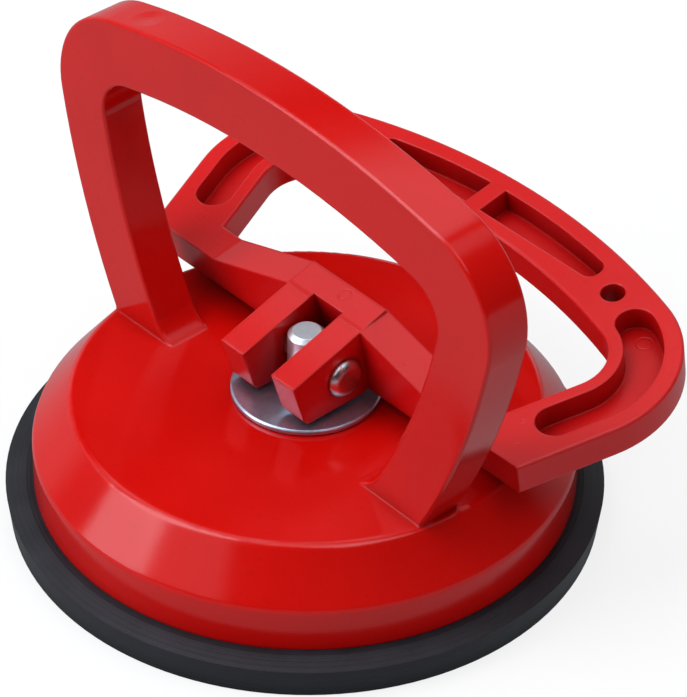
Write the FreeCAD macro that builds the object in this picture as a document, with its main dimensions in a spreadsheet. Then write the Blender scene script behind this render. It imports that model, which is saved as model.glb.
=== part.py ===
import FreeCAD, Part
import Sketcher
import math
import os

# Floor tile suction lifter: a single rubber cup under a plastic dome with a fixed carrying handle.
# A cam lever on top pulls the middle of the cup up and so makes the vacuum.
# Frame: origin at the middle of the rubber's underside, +Z up, +X along the pivot pin,
# +Y towards the ring end of the lever. Millimetres and degrees.

Vector = FreeCAD.Vector
Rotation = FreeCAD.Rotation
Placement = FreeCAD.Placement

# Driving sizes
SIZES = {
    # rubber pad
    "pad_radius": 60.0,
    "pad_draft": 0.7,
    "pad_edge_height": 6.3,
    "pad_thickness": 7.0,
    "seal_width": 8.3,
    "groove_width": 7.0,
    "groove_slope": 1.5,
    "groove_depth": 0.9,
    "flange_slope_start": 1.5,
    # dome of the housing
    "pad_overhang": 5.6,
    "skirt_rise": 9.4,
    "shoulder_inset": 7.8,
    "dome_height": 19.7,
    "crown_fall": 0.4,
    "crease_bevel": 0.5,
    "shoulder_round": 0.9,
    "housing_wall": 3.0,
    "rib_thickness": 2.0,
    "rib_count": 8.0,
    "guide_radius": 7.3,
    "stop_gap": 0.6,
    # fixed handle
    "handle_front": 11.5,
    "handle_depth": 9.9,
    "handle_top": 100.9,
    "handle_half_width": 60.8,
    "handle_crown_radius": 194.0,
    "handle_corner_radius": 19.6,
    "handle_leg_radius": 170.0,
    "handle_foot_inset": 1.6,
    "grip_thickness": 13.8,
    "handle_leg_width": 13.6,
    "finger_crown_radius": 176.0,
    "finger_corner_radius": 8.8,
    "finger_leg_radius": 150.0,
    "finger_foot": 25.3,
    "foot_round": 8.0,
    "handle_edge_bevel": 0.4,
    # washer under the cam
    "washer_radius": 15.0,
    "washer_thickness": 1.3,
    "washer_play": 0.5,
    "washer_edge": 0.3,
    "seat_margin": 2.0,
    # stud and the plate bonded to the rubber
    "plate_radius": 27.0,
    "plate_thickness": 2.0,
    "plate_gap": 0.2,
    "flange_radius": 11.0,
    "flange_thickness": 2.0,
    "rivet_radius": 3.0,
    "rivet_gap": 0.04,
    "stud_radius": 3.8,
    "stud_play": 0.09,
    "stud_over_pin": 5.2,
    "stud_chamfer": 0.9,
    # return spring
    "spring_radius": 8.7,
    "wire_radius": 0.6,
    "spring_turns": 3.5,
    "spring_gap": 0.1,
    # pivot pin and its cap ring
    "pin_radius": 2.5,
    "pin_play": 0.05,
    "pin_head_radius": 4.0,
    "pin_head_thickness": 1.7,
    "pin_head_round": 0.9,
    "pin_side_play": 0.1,
    "pin_tail": 0.8,
    "pin_chamfer": 0.5,
    "cap_radius": 4.4,
    "cap_thickness": 1.0,
    # lever: fork and cam nose, measured from the pin
    "lift_travel": 6.4,
    "cam_gap": 1.0,
    "fork_tilt": 17.4,
    "cam_front_reach": 11.4,
    "cam_top_reach": 7.06,
    "cam_flat_reach": 7.0,
    "cam_nose_radius": 2.0,
    "ear_thickness": 6.45,
    "slot_play": 0.35,
    "slot_back_reach": 8.0,
    "fork_rear_reach": 13.8,
    # lever: ring, measured from the pin along the ring's own slope
    "ring_tilt": 10.0,
    "ring_drop": 0.62,
    "ring_thickness": 7.0,
    "bar_front": 5.6,
    "bar_depth": 7.7,
    "bar_inset": 8.2,
    "gusset_width": 23.9,
    "gusset_rise": 8.6,
    "gusset_overlap": 3.5,
    "ring_reach": 62.4,
    "ring_half_width": 61.2,
    "ring_crown_rise": 13.05,
    "ring_side_rise": 14.4,
    "ring_rail": 14.6,
    "ring_edge_bevel": 0.4,
    # lever: open channels in the ring's top
    "channel_depth": 5.0,
    "pocket_rim": 3.8,
    "pocket_width": 7.9,
    "pocket_gap": 1.9,
    "pocket_hole_gap": 2.75,
    "channel_rim": 3.9,
    "channel_width": 7.5,
    "channel_left_inset": 27.2,
    "channel_right_gap": 3.5,
    "channel_end_flat": 0.2,
    "grip_rib_centre": -5.95,
    "grip_rib_width": 4.1,
    "hang_hole_inset": 27.7,
    "hang_hole_rim": 11.1,
    "hang_hole_radius": 2.5,
}

# How near two places are to count as one, in mm
NEAR = 0.01


class Size:
    """A size that knows its number and the sheet expression that gives it."""

    def __init__(self, number, text):
        self.number = number
        self.text = text

    def joined(self, other, sign, number):
        return Size(number, "(" + self.text + sign + as_size(other).text + ")")

    def __add__(self, other):
        return self.joined(other, " + ", self.number + as_size(other).number)

    def __sub__(self, other):
        return self.joined(other, " - ", self.number - as_size(other).number)

    def __mul__(self, other):
        return self.joined(other, " * ", self.number * as_size(other).number)

    def __truediv__(self, other):
        return self.joined(other, " / ", self.number / as_size(other).number)

    def __neg__(self):
        return Size(-self.number, "(0 - " + self.text + ")")


def as_size(value):
    if isinstance(value, Size):
        return value
    return Size(float(value), "(" + str(float(value)) + ")")


def sine(angle):
    return Size(math.sin(math.radians(angle.number)), "sin(" + angle.text + " * 1 deg)")


def cosine(angle):
    return Size(math.cos(math.radians(angle.number)), "cos(" + angle.text + " * 1 deg)")


def root(size):
    return Size(math.sqrt(size.number), "sqrt(" + size.text + ")")


class Sheet:
    """The document's spreadsheet; each size is an attribute under its alias."""

    def __init__(self, document, rows):
        self.cells = document.addObject("Spreadsheet::Sheet", "sizes")
        for number, (alias, value) in enumerate(rows.items(), start=1):
            self.cells.set("A" + str(number), alias)
            self.cells.set("B" + str(number), str(value))
            self.cells.setAlias("B" + str(number), alias)
            setattr(self, alias, Size(value, "sizes." + alias))


doc = FreeCAD.newDocument("tile_suction_lifter")
s = Sheet(doc, SIZES)
doc.recompute()

# Sizes that follow from the driving ones
s.pad_foot_radius = s.pad_radius - s.pad_draft
s.seal_inner_radius = s.pad_foot_radius - s.seal_width
s.land_radius = s.seal_inner_radius - s.groove_width
s.skirt_radius = s.pad_radius - s.pad_overhang
s.shoulder_radius = s.skirt_radius - s.shoulder_inset
s.crease_height = s.pad_thickness + s.skirt_rise
s.crown_height = s.pad_thickness + s.dome_height
s.shoulder_height = s.crown_height - s.crown_fall
s.crown_flat_radius = s.washer_radius + s.seat_margin
s.handle_foot = s.shoulder_radius - s.handle_foot_inset
s.finger_half_width = s.handle_half_width - s.handle_leg_width
s.pin_height = s.crown_height + s.washer_thickness + s.cam_gap + s.cam_flat_reach
s.slot_half_width = s.stud_radius + s.slot_play
s.ear_half_width = s.slot_half_width + s.ear_thickness
s.bar_rear = s.bar_front + s.bar_depth
s.bar_half_width = s.ring_half_width - s.bar_inset
s.gusset_half_width = s.ear_half_width + s.gusset_width
crown_square = s.ring_half_width * s.ring_half_width + s.ring_crown_rise * s.ring_crown_rise
s.ring_crown_radius = crown_square / (s.ring_crown_rise * 2)
s.ring_corner_radius = (s.ring_reach - s.ring_side_rise) / 2
s.pocket_start = s.bar_rear + s.pocket_gap
s.channel_inner = s.ring_reach - s.channel_rim - s.channel_width
s.channel_left = s.channel_left_inset - s.ring_half_width
s.hang_hole_side = s.ring_half_width - s.hang_hole_inset
s.hang_hole_reach = s.ring_reach - s.hang_hole_rim
s.pocket_end = s.hang_hole_side + s.hang_hole_radius + s.pocket_hole_gap + s.pocket_width / 2
s.channel_right = s.hang_hole_side - s.hang_hole_radius - s.channel_right_gap
slope_run = s.skirt_radius - s.shoulder_radius
slope_rise = s.shoulder_height - s.crease_height
slope_length = root(slope_run * slope_run + slope_rise * slope_rise)
crease_half_turn = (slope_length - slope_rise) / slope_run
shoulder_half_turn = (slope_length - slope_run) / slope_rise
ceiling = s.shoulder_height - s.housing_wall
plate_bottom = s.pad_thickness + s.plate_gap
plate_top = plate_bottom + s.plate_thickness
flange_top = plate_top + s.flange_thickness
guide_end = flange_top + s.lift_travel + s.stop_gap
rib_end = plate_top + s.lift_travel + s.stop_gap
stud_top = s.pin_height + s.stud_over_pin
pin_head_start = s.ear_half_width + s.pin_side_play


def bind(thing, prop, size):
    thing.setExpression(prop, as_size(size).text)


def new_body(name):
    body = doc.addObject("PartDesign::Body", name)
    body.Label = name
    return body


def origin_feature(body, role):
    return [feature for feature in body.Origin.OriginFeatures if feature.Role == role][0]


class Draft:
    """A sketch on one of its body's own origin planes, drawn with sizes."""

    def __init__(self, body, name, role):
        self.sketch = body.newObject("Sketcher::SketchObject", name)
        self.sketch.AttachmentSupport = [(origin_feature(body, role), "")]
        self.sketch.MapMode = "FlatFace"

    def shift(self, axis, size):
        offset = self.sketch.AttachmentOffset
        setattr(offset.Base, axis, size.number)
        self.sketch.AttachmentOffset = Placement(offset.Base, offset.Rotation)
        bind(self.sketch, "AttachmentOffset.Base." + axis, size)

    def tilt(self, angle):
        base = self.sketch.AttachmentOffset.Base
        self.sketch.AttachmentOffset = Placement(base, Rotation(Vector(1, 0, 0), angle.number))
        bind(self.sketch, "AttachmentOffset.Rotation.Angle", angle)

    def rule(self, kind, *where):
        return self.sketch.addConstraint(Sketcher.Constraint(kind, *where))

    def line(self, start, end, construction=False):
        first = Vector(as_size(start[0]).number, as_size(start[1]).number, 0)
        last = Vector(as_size(end[0]).number, as_size(end[1]).number, 0)
        return self.sketch.addGeometry(Part.LineSegment(first, last), construction)

    def arc(self, centre, radius, start, end, construction=False):
        """An arc drawn counter-clockwise between two points near its circle."""
        circle = Part.Circle(Vector(centre[0], centre[1], 0), Vector(0, 0, 1), as_size(radius).number)
        angles = [math.atan2(point[1] - centre[1], point[0] - centre[0]) for point in (start, end)]
        number = self.sketch.addGeometry(Part.ArcOfCircle(circle, *angles), construction)
        self.measure("Radius", radius, number)
        return number

    def circle(self, centre, radius):
        middle = Vector(as_size(centre[0]).number, as_size(centre[1]).number, 0)
        shape = Part.Circle(middle, Vector(0, 0, 1), as_size(radius).number)
        number = self.sketch.addGeometry(shape, False)
        self.pin(number, 3, *centre)
        self.measure("Radius", radius, number)
        return number

    def measure(self, kind, size, *where):
        number = self.rule(kind, *where, as_size(size).number)
        bind(self.sketch, "Constraints[" + str(number) + "]", size)

    def pin_x(self, number, point, size):
        if as_size(size).number == 0:
            self.rule("PointOnObject", number, point, -2)
        else:
            self.measure("DistanceX", size, -1, 1, number, point)

    def pin_y(self, number, point, size):
        if as_size(size).number == 0:
            self.rule("PointOnObject", number, point, -1)
        else:
            self.measure("DistanceY", size, -1, 1, number, point)

    def pin(self, number, point, across, up):
        self.pin_x(number, point, across)
        self.pin_y(number, point, up)

    def join(self, first, first_end, second, second_end):
        self.rule("Coincident", first, first_end, second, second_end)

    def smooth(self, first, first_end, second, second_end):
        self.rule("Tangent", first, first_end, second, second_end)

    def outline(self, corners, rounds=()):
        """Closed counter-clockwise outline; rounds maps a side's number to its arc's radius and centre."""
        rounds = dict(rounds)
        sides = []
        for number, start in enumerate(corners):
            end = corners[(number + 1) % len(corners)]
            if number in rounds:
                radius, centre = rounds[number]
                ends = [(as_size(x).number, as_size(y).number) for x, y in (start, end)]
                sides.append((self.arc(centre, radius, *ends), 1, 2))
            else:
                sides.append((self.line(start, end), 1, 2))
        for number, (side, start_end, _) in enumerate(sides):
            before, _, before_end = sides[number - 1]
            self.join(before, before_end, side, start_end)
            self.pin(side, start_end, *corners[number])
        return sides


def add_pad(body, draft, name, length, backwards=False, both_ways=False):
    pad = body.newObject("PartDesign::Pad", name)
    pad.Profile = draft.sketch
    bind(pad, "Length", length)
    pad.Reversed = backwards
    pad.Midplane = both_ways
    return pad


def add_pocket(body, draft, name, length, backwards=False, both_ways=False):
    pocket = body.newObject("PartDesign::Pocket", name)
    pocket.Profile = draft.sketch
    bind(pocket, "Length", length)
    pocket.Reversed = backwards
    pocket.Midplane = both_ways
    return pocket


def add_turned(body, draft, name, kind="PartDesign::Revolution", axis="V_Axis"):
    turned = body.newObject(kind, name)
    turned.Profile = draft.sketch
    turned.ReferenceAxis = (draft.sketch, [axis])
    turned.Angle = 360
    return turned


def add_mirror(body, name, original):
    mirror = body.newObject("PartDesign::Mirrored", name)
    mirror.Originals = [original]
    mirror.MirrorPlane = (origin_feature(body, "YZ_Plane"), [""])
    mirror.Refine = True
    body.Tip = mirror
    return mirror


def ease_edges(body, name, base, size, chosen, kind="Fillet", measure="Radius"):
    """Rounds or bevels the edges of the base feature that the chosen test accepts."""
    doc.recompute()
    edges = ["Edge" + str(n) for n, edge in enumerate(base.Shape.Edges, start=1) if chosen(edge)]
    eased = body.newObject("PartDesign::" + kind, name)
    eased.Base = (base, edges)
    bind(eased, measure, size)
    return eased


def add_bevel(body, name, base, size, chosen):
    return ease_edges(body, name, base, size, chosen, "Chamfer", "Size")


def circle_meeting(first, first_distance, second, second_distance):
    """The point at both distances from two points, on the left of the way from first to second."""
    gap = math.hypot(second[0] - first[0], second[1] - first[1])
    along = (first_distance ** 2 - second_distance ** 2 + gap ** 2) / (2 * gap)
    aside = math.sqrt(first_distance ** 2 - along ** 2)
    way = ((second[0] - first[0]) / gap, (second[1] - first[1]) / gap)
    return (first[0] + along * way[0] - aside * way[1], first[1] + along * way[1] + aside * way[0])


def point_towards(centre, radius, target):
    """The point of a circle on the ray from its centre through the target."""
    gap = math.hypot(target[0] - centre[0], target[1] - centre[1])
    return (centre[0] + radius * (target[0] - centre[0]) / gap,
            centre[1] + radius * (target[1] - centre[1]) / gap)


class Crown:
    """A shallow arc through a top point on the middle line that runs smoothly into a corner arc."""

    def __init__(self, draft, top, half_width, crown_radius, corner_radius, side_point, construction=False):
        crown_centre = (0.0, (top - crown_radius).number)
        corner_x = (half_width - corner_radius).number
        reach = (crown_radius - corner_radius).number
        self.centre = (corner_x, crown_centre[1] + math.sqrt(reach ** 2 - corner_x ** 2))
        self.joint = point_towards(crown_centre, crown_radius.number, self.centre)
        self.crown = draft.arc(crown_centre, crown_radius, self.joint, (0.0, top.number), construction)
        self.corner = draft.arc(self.centre, corner_radius, side_point, self.joint, construction)
        draft.pin_x(self.crown, 3, 0)
        draft.pin(self.crown, 2, 0, top)
        draft.smooth(self.corner, 2, self.crown, 1)
        draft.pin_x(self.corner, 3, half_width - corner_radius)


def build_pad():
    body = new_body("suction_pad")
    draft = Draft(body, "pad_profile", "XZ_Plane")
    draft.outline([
        (0, 0),
        (s.land_radius, 0),
        (s.land_radius + s.groove_slope, s.groove_depth),
        (s.seal_inner_radius - s.groove_slope, s.groove_depth),
        (s.seal_inner_radius, 0),
        (s.pad_foot_radius, 0),
        (s.pad_radius, s.pad_edge_height),
        (s.skirt_radius + s.flange_slope_start, s.pad_thickness),
        (0, s.pad_thickness),
    ])
    add_turned(body, draft, "pad_disc")
    return body


def dome_corners(inset):
    """Dome outline from skirt foot to crown, moved in by a part of the wall."""
    return [
        (s.skirt_radius - inset, s.crease_height - inset * crease_half_turn),
        (s.shoulder_radius - inset * shoulder_half_turn, s.shoulder_height - inset),
    ]


def draw_handle(draft):
    """Half of the D handle; the other half is its mirror image."""
    grip_top = s.handle_top - s.grip_thickness
    foot_height = s.crown_height - s.housing_wall / 6
    root_height = s.shoulder_height - s.housing_wall / 2
    # finger gap: crown, corner, leg and the round at its foot
    inner_corner = (s.finger_half_width - s.finger_corner_radius).number
    foot_centre = (s.finger_foot.number, (foot_height + s.foot_round).number)
    crown_drop = (grip_top - s.finger_crown_radius).number
    reach = (s.finger_crown_radius - s.finger_corner_radius).number
    corner_centre = (inner_corner, crown_drop + math.sqrt(reach ** 2 - inner_corner ** 2))
    leg_centre = circle_meeting(foot_centre, (s.finger_leg_radius - s.foot_round).number,
                                corner_centre, (s.finger_leg_radius - s.finger_corner_radius).number)
    leg_low = point_towards(leg_centre, s.finger_leg_radius.number, foot_centre)
    leg_high = point_towards(leg_centre, s.finger_leg_radius.number, corner_centre)
    inner = Crown(draft, grip_top, s.finger_half_width, s.finger_crown_radius,
                  s.finger_corner_radius, leg_high)
    inner_leg = draft.arc(leg_centre, s.finger_leg_radius, leg_low, leg_high)
    draft.smooth(inner_leg, 2, inner.corner, 1)
    foot_end = (s.finger_foot.number, foot_height.number)
    foot = draft.arc(foot_centre, s.foot_round, foot_end, leg_low)
    draft.smooth(foot, 2, inner_leg, 1)
    draft.pin(foot, 1, s.finger_foot, foot_height)
    draft.rule("Vertical", foot, 3, foot, 1)
    # outer side: leg, corner and crown
    corner_x = (s.handle_half_width - s.handle_corner_radius).number
    crown_drop = (s.handle_top - s.handle_crown_radius).number
    reach = (s.handle_crown_radius - s.handle_corner_radius).number
    corner_centre = (corner_x, crown_drop + math.sqrt(reach ** 2 - corner_x ** 2))
    outer_foot = (s.handle_foot.number, s.shoulder_height.number)
    leg_centre = circle_meeting(outer_foot, s.handle_leg_radius.number,
                                corner_centre, (s.handle_leg_radius - s.handle_corner_radius).number)
    leg_high = point_towards(leg_centre, s.handle_leg_radius.number, corner_centre)
    outer = Crown(draft, s.handle_top, s.handle_half_width, s.handle_crown_radius,
                  s.handle_corner_radius, leg_high)
    outer_leg = draft.arc(leg_centre, s.handle_leg_radius, outer_foot, leg_high)
    draft.smooth(outer_leg, 2, outer.corner, 1)
    draft.pin(outer_leg, 1, s.handle_foot, s.shoulder_height)
    # the legs' roots lie inside the dome's wall
    middle = draft.line((0, grip_top), (0, s.handle_top))
    draft.join(middle, 1, inner.crown, 2)
    draft.join(middle, 2, outer.crown, 2)
    inner_root = draft.line((s.finger_foot, foot_height), (s.finger_foot, root_height))
    draft.join(inner_root, 1, foot, 1)
    draft.rule("Vertical", inner_root)
    outer_root = draft.line((s.handle_foot, root_height), (s.handle_foot, s.shoulder_height))
    draft.join(outer_root, 2, outer_leg, 1)
    draft.rule("Vertical", outer_root)
    floor = draft.line((s.finger_foot, root_height), (s.handle_foot, root_height))
    draft.join(inner_root, 2, floor, 1)
    draft.join(outer_root, 1, floor, 2)
    draft.rule("Horizontal", floor)
    draft.pin_y(floor, 1, root_height)


def build_housing():
    body = new_body("housing")
    # dome
    run_step = s.crease_bevel / slope_length
    top_step = s.shoulder_round / slope_length
    shoulder_arc = s.shoulder_round / shoulder_half_turn
    draft = Draft(body, "dome_profile", "XZ_Plane")
    draft.outline([
        (0, s.pad_thickness),
        (s.skirt_radius, s.pad_thickness),
        (s.skirt_radius, s.crease_height - s.crease_bevel),
        (s.skirt_radius - run_step * slope_run, s.crease_height + run_step * slope_rise),
        (s.shoulder_radius + top_step * slope_run, s.shoulder_height - top_step * slope_rise),
        (s.shoulder_radius - s.shoulder_round, s.shoulder_height),
        (s.crown_flat_radius, s.crown_height),
        (0, s.crown_height),
    ], {
        4: (shoulder_arc, ((s.shoulder_radius - s.shoulder_round).number,
                           s.shoulder_height.number - shoulder_arc.number)),
    })
    add_turned(body, draft, "dome")
    # fixed handle on the dome's crown
    draft = Draft(body, "handle_profile", "XZ_Plane")
    draft.shift("z", s.handle_front - s.handle_depth)
    draw_handle(draft)
    half = add_pad(body, draft, "handle_half", s.handle_depth)
    doc.recompute()
    whole = add_mirror(body, "handle_whole", half)
    front = -s.handle_front.number
    rear = front + s.handle_depth.number

    def is_long_edge(edge):
        box = edge.BoundBox
        flat = box.YLength < NEAR and min(abs(box.YMin - front), abs(box.YMin - rear)) < NEAR
        return flat and box.XLength > NEAR and box.ZMax > s.crown_height.number + 0.5

    add_bevel(body, "handle_bevels", whole, s.handle_edge_bevel, is_long_edge)
    # hollow under the dome, the same wall all round
    draft = Draft(body, "hollow_profile", "XZ_Plane")
    low, high = dome_corners(s.housing_wall)
    draft.outline([
        (0, s.pad_thickness),
        (s.skirt_radius - s.housing_wall, s.pad_thickness),
        low,
        high,
        (0, ceiling),
    ])
    add_turned(body, draft, "hollow", "PartDesign::Groove")
    # radial ribs that stop short of the lifted plate
    rib_start = s.flange_radius + s.stop_gap
    half_wall = s.housing_wall / 2
    low, high = dome_corners(half_wall)
    draft = Draft(body, "rib_profile", "XZ_Plane")
    draft.outline([
        (rib_start, rib_end),
        (s.skirt_radius - half_wall, rib_end),
        low,
        high,
        (rib_start, s.shoulder_height - half_wall),
    ])
    rib = add_pad(body, draft, "rib", s.rib_thickness, both_ways=True)
    doc.recompute()
    ribs = body.newObject("PartDesign::PolarPattern", "ribs")
    ribs.Originals = [rib]
    ribs.Axis = (origin_feature(body, "Z_Axis"), [""])
    ribs.Angle = 360
    bind(ribs, "Occurrences", s.rib_count)
    body.Tip = ribs
    # guide tube for the stud
    draft = Draft(body, "guide_profile", "XY_Plane")
    draft.shift("z", guide_end)
    draft.circle((0, 0), s.guide_radius)
    add_pad(body, draft, "guide", s.crown_height - guide_end - s.housing_wall / 2)
    draft = Draft(body, "bore_profile", "XY_Plane")
    draft.circle((0, 0), s.stud_radius + s.stud_play)
    add_pocket(body, draft, "bore", s.crown_height + s.washer_thickness, backwards=True)
    return body


def build_washer():
    body = new_body("cam_washer")
    draft = Draft(body, "washer_profile", "XZ_Plane")
    hole = s.stud_radius + s.washer_play
    low = s.crown_height
    high = s.crown_height + s.washer_thickness
    draft.outline([
        (hole, low),
        (s.washer_radius - s.washer_edge, low),
        (s.washer_radius, low + s.washer_edge),
        (s.washer_radius, high - s.washer_edge),
        (s.washer_radius - s.washer_edge, high),
        (hole, high),
    ])
    add_turned(body, draft, "washer_disc")
    return body


def build_plate():
    body = new_body("pad_backing_plate")
    draft = Draft(body, "plate_profile", "XY_Plane")
    draft.shift("z", plate_bottom)
    draft.circle((0, 0), s.plate_radius)
    draft.circle((0, 0), s.rivet_radius + s.rivet_gap)
    add_pad(body, draft, "plate_disc", s.plate_thickness)
    return body


def build_stud():
    body = new_body("lift_stud")
    draft = Draft(body, "stud_profile", "XZ_Plane")
    draft.outline([
        (0, plate_bottom),
        (s.rivet_radius, plate_bottom),
        (s.rivet_radius, plate_top),
        (s.flange_radius, plate_top),
        (s.flange_radius, flange_top),
        (s.stud_radius, flange_top),
        (s.stud_radius, stud_top - s.stud_chamfer),
        (s.stud_radius - s.stud_chamfer, stud_top),
        (0, stud_top),
    ])
    add_turned(body, draft, "stud_turned")
    draft = Draft(body, "pin_bore_profile", "YZ_Plane")
    draft.circle((0, s.pin_height), s.pin_radius + s.pin_play)
    add_pocket(body, draft, "pin_bore", s.stud_radius * 3, both_ways=True)
    return body


def wire_corner(height, number):
    """A corner of the wire's six-sided section, which keeps the coil's surface light."""
    turn = math.radians(60 * number + 30)
    across = s.wire_radius * round(math.cos(turn), 6)
    return (s.spring_radius + across, height + s.wire_radius * round(math.sin(turn), 6))


def build_spring():
    body = new_body("return_spring")
    seat = flange_top + s.spring_gap + s.wire_radius
    height = ceiling - s.spring_gap - s.wire_radius - seat
    draft = Draft(body, "wire_profile", "XZ_Plane")
    draft.outline([wire_corner(seat, number) for number in range(6)])
    coil = body.newObject("PartDesign::AdditiveHelix", "coil")
    coil.Profile = draft.sketch
    coil.ReferenceAxis = (draft.sketch, ["V_Axis"])
    coil.Mode = "height-turns-angle"
    coil.Height = height.number
    coil.Turns = s.spring_turns.number
    bind(coil, "Height", height)
    bind(coil, "Turns", s.spring_turns)
    return body


def at_pin(body):
    body.Placement = Placement(Vector(0, 0, s.pin_height.number), Rotation())
    bind(body, "Placement.Base.z", s.pin_height)
    return body


def build_pin():
    body = at_pin(new_body("pivot_pin"))
    tail_end = -(pin_head_start + s.cap_thickness + s.pin_tail)
    head_end = pin_head_start + s.pin_head_thickness
    draft = Draft(body, "pin_profile", "XZ_Plane")
    draft.outline([
        (tail_end, 0),
        (tail_end, s.pin_radius - s.pin_chamfer),
        (tail_end + s.pin_chamfer, s.pin_radius),
        (pin_head_start, s.pin_radius),
        (pin_head_start, s.pin_head_radius),
        (head_end - s.pin_head_round, s.pin_head_radius),
        (head_end, s.pin_head_radius - s.pin_head_round),
        (head_end, 0),
    ])
    add_turned(body, draft, "pin_turned", axis="H_Axis")
    return body


def build_cap():
    body = at_pin(new_body("pin_retaining_clip"))
    draft = Draft(body, "cap_profile", "YZ_Plane")
    draft.shift("z", -(pin_head_start + s.cap_thickness))
    draft.circle((0, 0), s.cap_radius)
    draft.circle((0, 0), s.pin_radius)
    add_pad(body, draft, "cap_ring", s.cap_thickness)
    return body


def on_ring_plane(draft, along=None):
    """Lays a sketch on the ring's sloping top plane; along moves its origin down the slope."""
    draft.tilt(s.ring_tilt)
    draft.shift("y", s.ring_drop * sine(s.ring_tilt))
    draft.shift("z", -(s.ring_drop * cosine(s.ring_tilt)))


def draw_ring_rim(draft, construction=False):
    """Outer side of half the ring: straight side, corner and crown."""
    corner_x = (s.ring_half_width - s.ring_corner_radius).number
    crown_drop = (s.ring_reach - s.ring_crown_radius).number
    reach = (s.ring_crown_radius - s.ring_corner_radius).number
    centre = (corner_x, crown_drop + math.sqrt(reach ** 2 - corner_x ** 2))
    start = (s.bar_half_width.number, s.bar_front.number)
    gap = math.hypot(centre[0] - start[0], centre[1] - start[1])
    turn = math.atan2(centre[1] - start[1], centre[0] - start[0])
    side_angle = turn - math.asin(s.ring_corner_radius.number / gap)
    touch = (centre[0] + s.ring_corner_radius.number * math.sin(side_angle),
             centre[1] - s.ring_corner_radius.number * math.cos(side_angle))
    rim = Crown(draft, s.ring_reach, s.ring_half_width, s.ring_crown_radius,
                s.ring_corner_radius, touch, construction)
    rim.side = draft.line(start, touch, construction)
    draft.pin(rim.side, 1, s.bar_half_width, s.bar_front)
    draft.smooth(rim.side, 2, rim.corner, 1)
    rim.angle = side_angle
    return rim


def offset_point(rim, inset, along):
    """A point beside the rim's straight side: inset from it, along from the corner arc's start."""
    radius = s.ring_corner_radius.number - inset
    return (rim.centre[0] + radius * math.sin(rim.angle) - along * math.cos(rim.angle),
            rim.centre[1] - radius * math.cos(rim.angle) - along * math.sin(rim.angle))


def draw_ring(draft):
    """Half of the lever's ring with its cross-bar; the other half is its mirror image."""
    rim = draw_ring_rim(draft)
    rail = s.ring_rail
    touch = offset_point(rim, rail.number, 0)
    inner = Crown(draft, s.ring_reach - rail, s.ring_half_width - rail, s.ring_crown_radius - rail,
                  s.ring_corner_radius - rail, touch)
    steps = (touch[1] - s.bar_rear.number) / math.sin(rim.angle)
    inner_side = draft.line(offset_point(rim, rail.number, steps), touch)
    draft.smooth(inner_side, 2, inner.corner, 1)
    draft.rule("Parallel", inner_side, rim.side)
    draft.pin_y(inner_side, 1, s.bar_rear)
    tip = draft.line((0, s.ring_reach - rail), (0, s.ring_reach))
    draft.join(tip, 1, inner.crown, 2)
    draft.join(tip, 2, rim.crown, 2)
    bar_middle = draft.line((0, s.bar_front), (0, s.bar_rear))
    draft.pin(bar_middle, 1, 0, s.bar_front)
    draft.pin_x(bar_middle, 2, 0)
    front = draft.line((0, s.bar_front), (s.bar_half_width, s.bar_front))
    draft.join(front, 1, bar_middle, 1)
    draft.join(front, 2, rim.side, 1)
    rear = draft.line((0, s.bar_rear), offset_point(rim, rail.number, steps))
    draft.join(rear, 1, bar_middle, 2)
    draft.join(rear, 2, inner_side, 1)
    draft.rule("Horizontal", rear)


def draw_end_pocket(draft):
    """Open pocket that follows the ring's right side and corner at a constant width."""
    rim = draw_ring_rim(draft, construction=True)
    outer_inset = s.pocket_rim
    inner_inset = s.pocket_rim + s.pocket_width
    half_width = s.pocket_width / 2
    centre = rim.centre
    sides = []
    turn = s.pocket_end.number - centre[0]
    middle_radius = (s.ring_corner_radius - outer_inset - half_width).number
    end_centre = (centre[0] + turn, centre[1] + math.sqrt(middle_radius ** 2 - turn ** 2))
    for inset in (outer_inset, inner_inset):
        radius = s.ring_corner_radius - inset
        touch = offset_point(rim, inset.number, 0)
        end = point_towards(centre, radius.number, end_centre)
        bend = draft.arc(centre, radius, touch, end)
        draft.join(bend, 3, rim.corner, 3)
        middle_y = (s.pocket_start + half_width).number
        middle_inset = (outer_inset + half_width).number
        steps = (offset_point(rim, middle_inset, 0)[1] - middle_y) / math.sin(rim.angle)
        side = draft.line(offset_point(rim, inset.number, steps), touch)
        draft.smooth(side, 2, bend, 1)
        draft.rule("Parallel", side, rim.side)
        sides.append((side, bend, offset_point(rim, inset.number, steps), end))
    (outer_side, outer_bend, outer_start, outer_end), (inner_side, inner_bend, inner_start, inner_end) = sides
    middle = ((outer_start[0] + inner_start[0]) / 2, (outer_start[1] + inner_start[1]) / 2)
    round_end = draft.sketch.addGeometry(Part.ArcOfCircle(
        Part.Circle(Vector(middle[0], middle[1], 0), Vector(0, 0, 1), half_width.number),
        rim.angle + math.pi / 2, rim.angle + 3 * math.pi / 2), False)
    draft.smooth(round_end, 1, inner_side, 1)
    draft.smooth(round_end, 2, outer_side, 1)
    draft.pin_y(round_end, 3, s.pocket_start + half_width)
    angles = [math.atan2(y - end_centre[1], x - end_centre[0]) for x, y in (outer_end, inner_end)]
    far_end = draft.sketch.addGeometry(Part.ArcOfCircle(
        Part.Circle(Vector(end_centre[0], end_centre[1], 0), Vector(0, 0, 1), half_width.number),
        *angles), False)
    draft.smooth(far_end, 1, outer_bend, 2)
    draft.smooth(far_end, 2, inner_bend, 2)
    draft.pin_x(far_end, 3, s.pocket_end)


def channel_top(side):
    """How far along the ring the grip channel reaches at one place across it."""
    radius = s.ring_crown_radius - s.channel_rim
    return s.ring_reach - s.ring_crown_radius + root(radius * radius - side * side)


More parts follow.
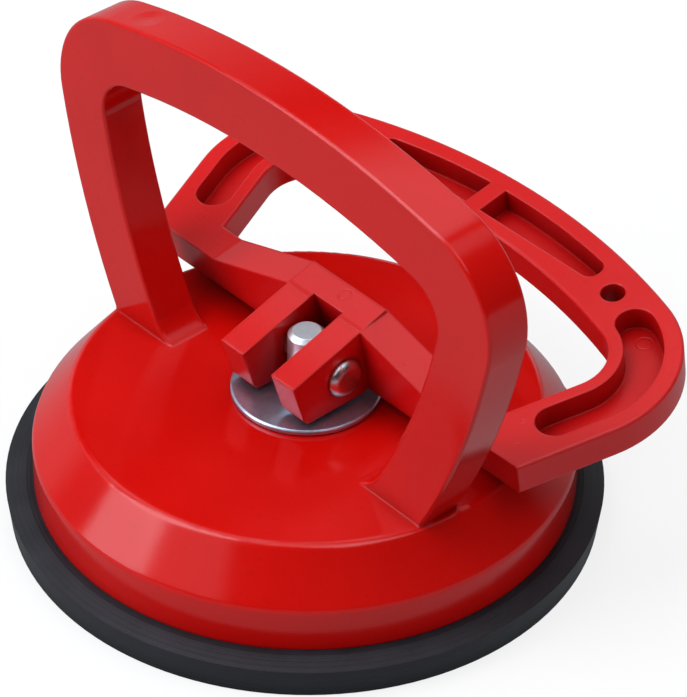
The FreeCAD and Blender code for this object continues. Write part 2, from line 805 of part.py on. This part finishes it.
def draw_channel(draft, left, right):
    """One stretch of the long grip channel, under the ring's crown."""
    draft.outline([
        (left, s.channel_inner),
        (right, s.channel_inner),
        (right, channel_top(right)),
        (left, channel_top(left)),
    ], {2: (s.ring_crown_radius - s.channel_rim, (0, (s.ring_reach - s.ring_crown_radius).number))})


def build_lever():
    body = at_pin(new_body("cam_lever"))
    # ring and cross-bar
    draft = Draft(body, "ring_profile", "XY_Plane")
    on_ring_plane(draft)
    draw_ring(draft)
    half = add_pad(body, draft, "ring_half", s.ring_thickness, backwards=True)
    doc.recompute()
    ring = add_mirror(body, "ring_whole", half)
    slope = Vector(0, cosine(s.ring_tilt).number, sine(s.ring_tilt).number)

    def is_rim_edge(edge):
        ends = [vertex.Point for vertex in edge.Vertexes]
        if len(ends) < 2:
            return False
        normal = Vector(0, -slope.z, slope.y)
        level = abs((ends[1] - ends[0]).dot(normal)) < NEAR and edge.BoundBox.XLength > NEAR
        return level and min(point.dot(slope) for point in ends) > s.bar_rear.number + 0.5

    add_bevel(body, "ring_bevels", ring, s.ring_edge_bevel, is_rim_edge)
    # sloping shoulders between the fork and the ring
    draft = Draft(body, "gusset_profile", "XZ_Plane")
    draft.tilt(s.ring_tilt)
    draft.shift("y", s.bar_rear * sine(s.ring_tilt) - s.ring_drop * cosine(s.ring_tilt))
    draft.shift("z", -(s.bar_rear * cosine(s.ring_tilt) + s.ring_drop * sine(s.ring_tilt)))
    under = -s.gusset_overlap
    draft.outline([
        (-s.gusset_half_width, under),
        (s.gusset_half_width, under),
        (s.gusset_half_width, 0),
        (s.ear_half_width, s.gusset_rise),
        (-s.ear_half_width, s.gusset_rise),
        (-s.gusset_half_width, 0),
    ])
    add_pad(body, draft, "gusset", s.bar_rear - s.bar_front)
    # fork block with the cam nose
    tilt_sine = sine(s.fork_tilt)
    tilt_cosine = cosine(s.fork_tilt)

    def in_fork(along, above):
        return (along * tilt_cosine - above * tilt_sine, along * tilt_sine + above * tilt_cosine)

    ring_sine = sine(s.ring_tilt)
    ring_cosine = cosine(s.ring_tilt)
    ring_under = -(s.ring_drop + s.ring_thickness)

    def in_ring(along, above):
        return (along * ring_cosine - above * ring_sine, along * ring_sine + above * ring_cosine)

    nose_down = s.cam_flat_reach - s.cam_nose_radius
    nose_y = -((s.cam_front_reach - s.cam_nose_radius - nose_down * tilt_sine) / tilt_cosine)
    bend_y = (-ring_under - s.cam_flat_reach * ring_cosine) / ring_sine
    draft = Draft(body, "fork_profile", "YZ_Plane")
    draft.outline([
        in_fork(-s.cam_front_reach, s.cam_top_reach),
        (nose_y - s.cam_nose_radius * tilt_cosine, -(nose_down + s.cam_nose_radius * tilt_sine)),
        (nose_y, -s.cam_flat_reach),
        (bend_y, -s.cam_flat_reach),
        in_ring(s.bar_rear, ring_under),
        in_ring(s.bar_rear, -s.ring_drop),
        in_fork(s.fork_rear_reach, s.cam_top_reach),
    ], {1: (s.cam_nose_radius, (nose_y.number, -nose_down.number))})
    add_pad(body, draft, "fork", s.ear_half_width * 2, both_ways=True)
    # slot for the stud, open at the front, top and bottom
    tall = s.cam_front_reach * 2
    draft = Draft(body, "slot_profile", "YZ_Plane")
    draft.outline([
        in_fork(-tall, -tall),
        in_fork(s.slot_back_reach, -tall),
        in_fork(s.slot_back_reach, tall),
        in_fork(-tall, tall),
    ])
    add_pocket(body, draft, "slot", s.slot_half_width * 2, both_ways=True)
    draft = Draft(body, "pivot_profile", "YZ_Plane")
    draft.circle((0, 0), s.pin_radius + s.pin_play)
    add_pocket(body, draft, "pivot_bore", s.ear_half_width * 3, both_ways=True)
    # open pockets round both ends of the ring
    draft = Draft(body, "pocket_profile", "XY_Plane")
    on_ring_plane(draft)
    draw_end_pocket(draft)
    pocket = add_pocket(body, draft, "end_pocket", s.channel_depth)
    doc.recompute()
    add_mirror(body, "end_pockets", pocket)
    # long channel in two stretches, with a rib left between them
    draft = Draft(body, "channel_profile", "XY_Plane")
    on_ring_plane(draft)
    half_rib = s.grip_rib_width / 2
    draw_channel(draft, s.channel_left, s.grip_rib_centre - half_rib)
    draw_channel(draft, s.grip_rib_centre + half_rib, s.channel_right)
    channel = add_pocket(body, draft, "grip_channel", s.channel_depth)

    def is_channel_corner(edge, side):
        ends = [vertex.Point.x for vertex in edge.Vertexes]
        upright = abs(edge.Length - s.channel_depth.number) < NEAR
        return upright and max(abs(end - side.number) for end in ends) < NEAR

    for side, name in ((s.channel_left, "left_corners"), (s.channel_right, "right_corners")):
        radius = (channel_top(side) - s.channel_inner - s.channel_end_flat) / 2
        channel = ease_edges(body, name, channel, radius, lambda edge: is_channel_corner(edge, side))
    # round hole through the rail, for a cord or a hook
    draft = Draft(body, "hang_profile", "XY_Plane")
    on_ring_plane(draft)
    draft.circle((s.hang_hole_side, s.hang_hole_reach), s.hang_hole_radius)
    add_pocket(body, draft, "hang_hole", s.ring_thickness * 2)
    return body


parts = [
    build_housing(),
    build_pad(),
    build_washer(),
    build_plate(),
    build_stud(),
    build_spring(),
    build_pin(),
    build_cap(),
    build_lever(),
]
doc.recompute()

for thing in doc.Objects:
    if "Invalid" in thing.State or "Error" in thing.State:
        raise RuntimeError(thing.Name + " did not build")
for part in parts:
    if part.Shape.isNull() or not part.Shape.isValid():
        raise RuntimeError(part.Label + " has no valid shape")

os.makedirs("parts", exist_ok=True)
for part in parts:
    part.Shape.exportStep("parts/" + part.Label + ".step")
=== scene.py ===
import bpy
import math
from mathutils import Matrix, Vector


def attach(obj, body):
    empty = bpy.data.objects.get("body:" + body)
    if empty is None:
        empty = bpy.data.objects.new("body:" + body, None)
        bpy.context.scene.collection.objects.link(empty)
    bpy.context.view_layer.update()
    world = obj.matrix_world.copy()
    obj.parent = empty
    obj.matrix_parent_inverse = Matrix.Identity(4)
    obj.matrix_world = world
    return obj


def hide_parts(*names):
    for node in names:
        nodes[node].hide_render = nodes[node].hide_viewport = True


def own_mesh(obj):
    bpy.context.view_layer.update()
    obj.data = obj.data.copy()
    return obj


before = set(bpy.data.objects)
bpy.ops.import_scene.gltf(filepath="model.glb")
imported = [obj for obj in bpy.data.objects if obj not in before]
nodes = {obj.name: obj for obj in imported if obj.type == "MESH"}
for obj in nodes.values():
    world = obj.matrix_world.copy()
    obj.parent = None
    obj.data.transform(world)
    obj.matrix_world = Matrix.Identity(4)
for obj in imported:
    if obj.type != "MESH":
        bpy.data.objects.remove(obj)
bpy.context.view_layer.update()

scene = bpy.context.scene

# Photograph's frame in pixels, and the camera that fits it, in radians and metres
PHOTO_WIDTH = 687
PHOTO_HEIGHT = 697
FOCAL_PIXELS = 3539.734
CENTRE_PIXEL = (342.560, 348.758)
CAMERA_AZIMUTH = 0.8210901
CAMERA_ELEVATION = 0.6619274
CAMERA_ROLL = 0.0196513
CAMERA_PLACE = (0.404307, -0.366869, 0.462201)
CAMERA_REACH = 20.0
SENSOR = 36.0

# Studio: every lamp is a soft square at one distance from the middle of the object
WHITE = (1, 1, 1, 1)
COOL_WHITE = (0.97, 1.0, 1.07)
LAMP_TARGET = Vector((0, 0, 0.04))
LAMP_DISTANCE = 1.5
LAMP_SIDE = 0.7
# Name, azimuth from +X and elevation in degrees, power in watts
LAMPS = (
    ("front_high", 240, 64, 6.9),
    ("key", 240, 38, 6.5),
    ("front_low", 240, 14, 4.3),
    ("right_high", 0, 64, 3.9),
    ("above", 0, 90, 1.9),
    ("left_high", 180, 60, 1.8),
    ("back_high", 120, 60, 1.7),
    ("back_low", 120, 14, 1.1),
    ("right_front", 270, 38, 1.1),
    ("left_front", 210, 38, 0.9),
    ("right_back", 60, 64, 1.0),
)
WORLD_LIGHT = 0.36
# Pale backdrop that only reflections see: azimuth of each lobe and its strength
BACKDROP_LOBES = ((180, 0.63), (135, 0.41), (90, 0.35), (225, 0.18))
BACKDROP_ELEVATION = 8
BACKDROP_EDGE = 30
BACKDROP_FULL = 14
FLOOR_REACH = 6.0
FLOOR_DROP = 0.0002
FLOOR_TONE_SEEN = (0.86, 0.86, 0.86, 1)
FLOOR_TONE_BOUNCED = (0.45, 0.45, 0.45, 1)
FLOOR_GLOW_SHARE = 0.80
FLOOR_MIRRORED = 0.40

# Moulding marks: centre, ring radius and half width of the dip, in metres
SINK_MARKS = (((-0.0388, -0.0066, 0.0969), 0.0, 0.0034),)
SINK_DEPTH = 0.0004
EJECTOR_MARKS = (((0.00105, 0.0088, 0.0461), 0.0013, 0.00022),
                 ((0.0443, 0.0488, 0.0389), 0.0016, 0.00024),
                 ((0.0451, 0.0149, 0.0380), 0.0005, 0.00024),
                 ((0.0487, 0.0102, 0.0372), 0.0, 0.0005),
                 ((0.0208, 0.0069, 0.0416), 0.0, 0.0005))
EJECTOR_DEPTH = 0.00012

PLASTIC_IOR = 1.47
PLASTIC_EDGE = 0.0007
# How far the painted shade in hollows reaches, in metres, on the plastic and on the rubber
PLASTIC_SHADE_REACH = 0.010
RUBBER_SHADE_REACH = 0.008
STEEL_EDGE = 0.0003
PIN_HEAD_EDGE = 0.0012


def shader(name):
    """A new material, its node tree and its Principled shader."""
    material = bpy.data.materials.new(name)
    material.use_nodes = True
    tree = material.node_tree
    return material, tree, tree.nodes["Principled BSDF"]


def add_node(tree, kind, **values):
    """A new node with its properties set, or its inputs where it has no such property."""
    node = tree.nodes.new(kind)
    for key, value in values.items():
        if hasattr(node, key):
            setattr(node, key, value)
        else:
            node.inputs[key].default_value = value
    return node


def fill(tree, socket, value):
    """Gives a socket a plain value or links it to another node's output."""
    if isinstance(value, (int, float, tuple)):
        socket.default_value = value
    else:
        tree.links.new(value, socket)


def noise(tree, place, scale, detail=2.0, roughness=0.5):
    node = add_node(tree, "ShaderNodeTexNoise", Scale=scale, Detail=detail, Roughness=roughness)
    tree.links.new(place, node.inputs["Vector"])
    return node.outputs["Fac"]


def object_place(tree):
    return add_node(tree, "ShaderNodeTexCoord").outputs["Object"]


def mapped_place(tree, setting, value):
    """Object coordinates with one setting of a mapping changed."""
    node = add_node(tree, "ShaderNodeMapping")
    tree.links.new(object_place(tree), node.inputs["Vector"])
    node.inputs[setting].default_value = value
    return node.outputs["Vector"]


def spread(tree, value, low, high, to_low, to_high):
    """Maps a value's range onto another, clamped."""
    node = add_node(tree, "ShaderNodeMapRange")
    node.inputs["From Min"].default_value = low
    node.inputs["From Max"].default_value = high
    node.inputs["To Min"].default_value = to_low
    node.inputs["To Max"].default_value = to_high
    tree.links.new(value, node.inputs["Value"])
    return node.outputs["Result"]


def calculate(tree, operation, first, second=0.0):
    node = add_node(tree, "ShaderNodeMath", operation=operation)
    fill(tree, node.inputs[0], first)
    fill(tree, node.inputs[1], second)
    return node.outputs[0]


def calculate_vector(tree, operation, first, second, output):
    node = add_node(tree, "ShaderNodeVectorMath", operation=operation)
    tree.links.new(first, node.inputs[0])
    node.inputs[1].default_value = second
    return node.outputs[output]


def mix_colour(tree, factor, first, second, blend="MIX"):
    node = add_node(tree, "ShaderNodeMix", data_type="RGBA", blend_type=blend)
    fill(tree, node.inputs[0], factor)
    fill(tree, node.inputs[6], first)
    fill(tree, node.inputs[7], second)
    return node.outputs[2]


def mix_shader(tree, factor, first, second):
    node = add_node(tree, "ShaderNodeMixShader")
    for socket, value in zip(node.inputs, (factor, first.outputs[0], second.outputs[0])):
        tree.links.new(value, socket)
    return node


def bump(tree, target, height, strength, distance, before=None):
    """Raises a shader's normal by a height, on top of the normal given."""
    node = add_node(tree, "ShaderNodeBump", Strength=strength, Distance=distance)
    tree.links.new(height, node.inputs["Height"])
    if before is not None:
        tree.links.new(before, node.inputs["Normal"])
    tree.links.new(node.outputs["Normal"], target)
    return node.outputs["Normal"]


def soft_edges(tree, radius):
    """Normals that round every sharp edge by a radius."""
    return add_node(tree, "ShaderNodeBevel", samples=6, Radius=radius).outputs["Normal"]


def paint_hollow_shade(tree, body, tone, reach, shine):
    """Gives a shader its colour and shine, with painted shade: ambient occlusion darkens both in deep
    corners and hollows, where shade falls.
    """
    # Painted shade: the occlusion darkens the base colour and lowers the shine in hollows, standing in for
    # the shade that falls there
    hollow = add_node(tree, "ShaderNodeAmbientOcclusion", samples=8, Distance=reach).outputs["AO"]
    depth = spread(tree, hollow, 0.20, 0.70, 0.5, 1.0)
    shade = add_node(tree, "ShaderNodeCombineColor")
    for channel in ("Red", "Green", "Blue"):
        tree.links.new(depth, shade.inputs[channel])
    tone = mix_colour(tree, 1.0, tone, shade.outputs["Color"], "MULTIPLY")
    tree.links.new(tone, body.inputs["Base Color"])
    tree.links.new(spread(tree, hollow, 0.25, 0.75, 0.16 * shine, shine), body.inputs["Specular IOR Level"])


def grooves(tree, marks):
    """Height that dips along a ring round each mark's centre, or at the centre where its radius is 0."""
    place = object_place(tree)
    height = 1.0
    for centre, radius, half_width in marks:
        away = calculate_vector(tree, "DISTANCE", place, centre, "Value")
        apart = calculate(tree, "ABSOLUTE", calculate(tree, "SUBTRACT", away, radius))
        dip = spread(tree, apart, 0.2 * half_width, half_width, 0.0, 1.0)
        height = calculate(tree, "MINIMUM", dip, height)
    return height


def moulded_red(name, deep, bright, gloss, seed, marks, mark_depth):
    """Injection-moulded red plastic: faint flow clouding, fine orange peel, moulding marks, and painted
    shade in its hollows.
    """
    material, tree, body = shader(name)
    place = mapped_place(tree, "Location", (seed, seed * 0.7, 0))
    cloud = noise(tree, place, 28.0, 3.0)
    fleck = noise(tree, place, 900.0)
    tone = mix_colour(tree, spread(tree, cloud, 0.3, 0.7, 0.0, 1.0), (*deep, 1), (*bright, 1))
    darker = tuple(channel * 0.82 for channel in deep)
    tone = mix_colour(tree, spread(tree, fleck, 0.62, 0.74, 0.0, 0.35), tone, (*darker, 1))
    # Painted shade: the red is darkened and dulled in pockets, the hang hole and other hollows
    paint_hollow_shade(tree, body, tone, PLASTIC_SHADE_REACH, 0.5)
    tree.links.new(spread(tree, cloud, 0.3, 0.7, gloss, gloss + 0.06), body.inputs["Roughness"])
    body.inputs["IOR"].default_value = PLASTIC_IOR
    peel = noise(tree, place, 420.0)
    wave = noise(tree, place, 60.0, 1.0)
    normal = body.inputs["Normal"]
    waved = bump(tree, normal, wave, 0.12, 0.0006, soft_edges(tree, PLASTIC_EDGE))
    marked = bump(tree, normal, grooves(tree, marks), 0.6, mark_depth, waved)
    bump(tree, normal, peel, 0.10, 0.00012, marked)
    return material


def black_rubber(name):
    """Dull black rubber with dust, fine grain, faint lines round the disc, and painted shade in its hollows.
    """
    material, tree, body = shader(name)
    place = object_place(tree)
    dust = noise(tree, place, 90.0, 5.0, 0.6)
    grain = noise(tree, place, 2400.0)
    tone = mix_colour(tree, spread(tree, dust, 0.35, 0.75, 0.0, 1.0),
                      (0.0095, 0.0110, 0.0145, 1), (0.019, 0.020, 0.026, 1))
    # Painted shade: the rubber is darkened and dulled in hollows, such as next to the housing's skirt
    paint_hollow_shade(tree, body, tone, RUBBER_SHADE_REACH, 0.40)
    tree.links.new(spread(tree, dust, 0.3, 0.7, 0.50, 0.62), body.inputs["Roughness"])
    parts = add_node(tree, "ShaderNodeSeparateXYZ")
    tree.links.new(place, parts.inputs[0])
    flat = calculate_vector(tree, "MULTIPLY", place, (1, 1, 0), "Vector")
    section = add_node(tree, "ShaderNodeCombineXYZ")
    tree.links.new(calculate_vector(tree, "LENGTH", flat, (0, 0, 0), "Value"), section.inputs["X"])
    tree.links.new(parts.outputs["Z"], section.inputs["Z"])
    lines = noise(tree, section.outputs[0], 1500.0)
    lined = bump(tree, body.inputs["Normal"], lines, 0.6, 0.00020)
    bump(tree, body.inputs["Normal"], grain, 0.25, 0.00008, lined)
    return material


def plain_steel(name, dark, light, gloss, scale, stretch=(1, 1, 1), edge=STEEL_EDGE):
    """Plated or polished steel with fine marks and a patchy gloss."""
    material, tree, body = shader(name)
    place = mapped_place(tree, "Scale", stretch)
    marks = noise(tree, place, scale, 4.0, 0.6)
    patch = noise(tree, place, scale * 0.12)
    tone = mix_colour(tree, spread(tree, marks, 0.3, 0.7, 0.0, 1.0), (*dark, 1), (*light, 1))
    tree.links.new(tone, body.inputs["Base Color"])
    body.inputs["Metallic"].default_value = 1.0
    tree.links.new(spread(tree, patch, 0.3, 0.7, gloss, gloss + 0.1), body.inputs["Roughness"])
    bump(tree, body.inputs["Normal"], marks, 0.15, 0.00006, soft_edges(tree, edge))
    return material


def finish_nodes():
    """Gives each CAD node its material."""
    finishes = {
        "housing": moulded_red("housing_red", (0.515, 0.0026, 0.0013), (0.59, 0.0036, 0.0020),
                               0.12, 0.0, SINK_MARKS, SINK_DEPTH),
        "cam_lever": moulded_red("lever_red", (0.57, 0.0032, 0.0034), (0.64, 0.0044, 0.0048),
                                 0.27, 0.37, EJECTOR_MARKS, EJECTOR_DEPTH),
        "suction_pad": black_rubber("pad_black_rubber"),
        "cam_washer": plain_steel("washer_polished", (0.46, 0.56, 0.72), (0.58, 0.70, 0.86), 0.32, 700.0),
        "lift_stud": plain_steel("stud_zinc", (0.80, 0.91, 0.97), (0.90, 0.98, 1.0), 0.44, 900.0,
                                 stretch=(1, 1, 0.2)),
        "pivot_pin": plain_steel("pin_zinc", (0.62, 0.63, 0.65), (0.80, 0.80, 0.82), 0.20, 800.0,
                                 edge=PIN_HEAD_EDGE),
        "pin_retaining_clip": plain_steel("cap_zinc", (0.58, 0.58, 0.60), (0.74, 0.74, 0.76), 0.24, 800.0),
        "pad_backing_plate": plain_steel("plate_steel", (0.45, 0.45, 0.46), (0.58, 0.58, 0.59), 0.35, 500.0),
        "return_spring": plain_steel("spring_steel", (0.42, 0.42, 0.43), (0.55, 0.55, 0.57), 0.28, 900.0),
    }
    for node_name, node in nodes.items():
        node.data.materials.clear()
        node.data.materials.append(finishes[node_name])


def add_spring():
    """The real return spring shortens from its fixed top end as the stud lifts; here it is a copy of the CAD
    spring with a mesh of its own, attached to the housing body, and the CAD spring is hidden.
    """
    still = nodes["return_spring"]
    coil = bpy.data.objects.new("return_spring_coil", still.data.copy())
    scene.collection.objects.link(coil)
    coil.matrix_world = still.matrix_world
    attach(coil, "housing_body")
    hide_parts("return_spring")
    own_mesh(coil)


def lay_floor():
    """Pale floor that stays near white to the camera, keeps the object's soft shadow and is dimmer
    in bounced light and in reflections."""
    mesh = bpy.data.meshes.new("floor")
    corners = [(x * FLOOR_REACH, y * FLOOR_REACH, 0) for x, y in ((-1, -1), (1, -1), (1, 1), (-1, 1))]
    mesh.from_pydata(corners, [], [(0, 1, 2, 3)])
    floor = bpy.data.objects.new("floor", mesh)
    scene.collection.objects.link(floor)
    floor.location.z = -FLOOR_DROP
    material, tree, body = shader("pale_floor")
    rays = add_node(tree, "ShaderNodeLightPath").outputs
    tone = mix_colour(tree, rays["Is Camera Ray"], FLOOR_TONE_BOUNCED, FLOOR_TONE_SEEN)
    tree.links.new(tone, body.inputs["Base Color"])
    body.inputs["Roughness"].default_value = 0.9
    glow = add_node(tree, "ShaderNodeEmission", Color=WHITE, Strength=1.0)
    share = calculate(tree, "MULTIPLY", rays["Is Camera Ray"], FLOOR_GLOW_SHARE)
    seen = mix_shader(tree, share, body, glow)
    mirrored = add_node(tree, "ShaderNodeEmission", Color=(*COOL_WHITE, 1), Strength=FLOOR_MIRRORED)
    whole = mix_shader(tree, rays["Is Glossy Ray"], seen, mirrored)
    tree.links.new(whole.outputs[0], tree.nodes["Material Output"].inputs["Surface"])
    mesh.materials.append(material)


def direction(azimuth, elevation):
    """Unit vector for an azimuth from +X and an elevation from the floor, in degrees."""
    turn = math.radians(azimuth)
    rise = math.radians(elevation)
    return Vector((math.cos(turn) * math.cos(rise), math.sin(turn) * math.cos(rise), math.sin(rise)))


def light_world():
    """White to the camera, dim for the light it throws, and a pale backdrop low at the left and
    the back for reflections."""
    world = bpy.data.worlds.new("studio")
    scene.world = world
    world.use_nodes = True
    tree = world.node_tree
    tree.nodes.clear()
    rays = add_node(tree, "ShaderNodeLightPath").outputs
    way = add_node(tree, "ShaderNodeTexCoord").outputs["Generated"]
    edge = math.cos(math.radians(BACKDROP_EDGE))
    full = math.cos(math.radians(BACKDROP_FULL))
    backdrop = 0.0
    for azimuth, strength in BACKDROP_LOBES:
        middle = direction(azimuth, BACKDROP_ELEVATION)
        near = calculate_vector(tree, "DOT_PRODUCT", way, middle, "Value")
        backdrop = calculate(tree, "ADD", spread(tree, near, edge, full, 0.0, strength), backdrop)
    soft = add_node(tree, "ShaderNodeBackground", Color=WHITE, Strength=WORLD_LIGHT)
    mirrored = add_node(tree, "ShaderNodeBackground", Color=(*COOL_WHITE, 1))
    tree.links.new(backdrop, mirrored.inputs["Strength"])
    white = add_node(tree, "ShaderNodeBackground", Color=WHITE, Strength=1.0)
    thrown = mix_shader(tree, rays["Is Glossy Ray"], soft, mirrored)
    through = calculate(tree, "MAXIMUM", rays["Is Camera Ray"], rays["Is Transmission Ray"])
    whole = mix_shader(tree, through, thrown, white)
    out = add_node(tree, "ShaderNodeOutputWorld")
    tree.links.new(whole.outputs[0], out.inputs["Surface"])


def add_lamp(name, azimuth, elevation, power):
    """Soft square lamp aimed at the object."""
    lamp = bpy.data.lights.new(name, "AREA")
    lamp.shape = "RECTANGLE"
    lamp.size = LAMP_SIDE
    lamp.size_y = LAMP_SIDE
    lamp.energy = power
    lamp.color = COOL_WHITE
    holder = bpy.data.objects.new(name, lamp)
    scene.collection.objects.link(holder)
    way = direction(azimuth, elevation)
    holder.location = LAMP_TARGET + way * LAMP_DISTANCE
    holder.rotation_euler = (-way).to_track_quat("-Z", "Y").to_euler()


def add_camera():
    """Camera at the photograph's place, turned and shifted to its frame."""
    back = Vector((math.sin(CAMERA_AZIMUTH) * math.cos(CAMERA_ELEVATION),
                   -math.cos(CAMERA_AZIMUTH) * math.cos(CAMERA_ELEVATION),
                   math.sin(CAMERA_ELEVATION)))
    right = Vector((math.cos(CAMERA_AZIMUTH), math.sin(CAMERA_AZIMUTH), 0))
    above = back.cross(right)
    cosine = math.cos(CAMERA_ROLL)
    sine = math.sin(CAMERA_ROLL)
    rolled_right = cosine * right + sine * above
    rolled_above = cosine * above - sine * right
    turn = Matrix((rolled_right, rolled_above, back)).transposed()
    camera = bpy.data.cameras.new("camera")
    camera.sensor_width = SENSOR
    camera.lens = FOCAL_PIXELS * SENSOR / PHOTO_HEIGHT
    camera.shift_x = (PHOTO_WIDTH / 2 - CENTRE_PIXEL[0]) / PHOTO_HEIGHT
    camera.shift_y = (CENTRE_PIXEL[1] - PHOTO_HEIGHT / 2) / PHOTO_HEIGHT
    camera.clip_end = CAMERA_REACH
    holder = bpy.data.objects.new("camera", camera)
    scene.collection.objects.link(holder)
    holder.matrix_world = Matrix.Translation(Vector(CAMERA_PLACE)) @ turn.to_4x4()
    scene.camera = holder


finish_nodes()
add_spring()
lay_floor()
light_world()
for lamp_name, lamp_azimuth, lamp_elevation, lamp_power in LAMPS:
    add_lamp(lamp_name, lamp_azimuth, lamp_elevation, lamp_power)
add_camera()
scene.view_settings.view_transform = "Standard"
